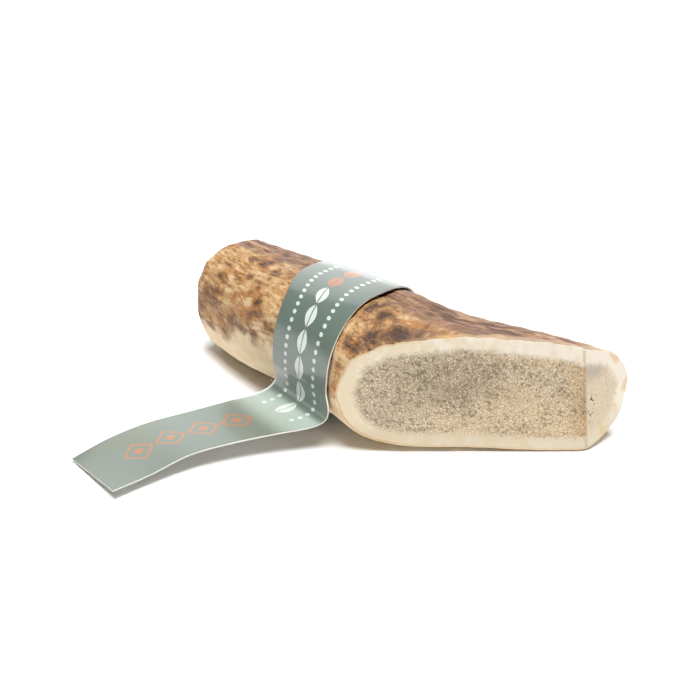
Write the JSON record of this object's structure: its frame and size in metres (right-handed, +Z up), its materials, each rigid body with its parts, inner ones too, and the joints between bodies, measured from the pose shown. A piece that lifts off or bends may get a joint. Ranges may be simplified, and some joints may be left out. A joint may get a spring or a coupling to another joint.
{
  "type": "deer antler piece with paper label",
  "caption": "Sawn length of deer antler with a slanting cut face, lying on its side, with a loose-ended paper label wrapped round it.",
  "frame": {"origin": "middle of the base of the whole part's box, on the surface that the antler lies on", "axes": "+X along the beam from the small sawn end to the wide end, +Z up, and the label's loose tail leaves the beam towards -Y"},
  "size_m": [0.1289, 0.124, 0.0402],
  "materials": {
    "antler_bone": "satin, mottled tan and dark brown bark, cream cortical ring and grey-brown porous core on the sawn faces",
    "label_paper": "coated sage-green paper with a slight gloss and thin white cut edges"
  },
  "bodies": {
    "root": {"antler": "antler_bone", "label": "label_paper"}
  },
  "joints": []
}
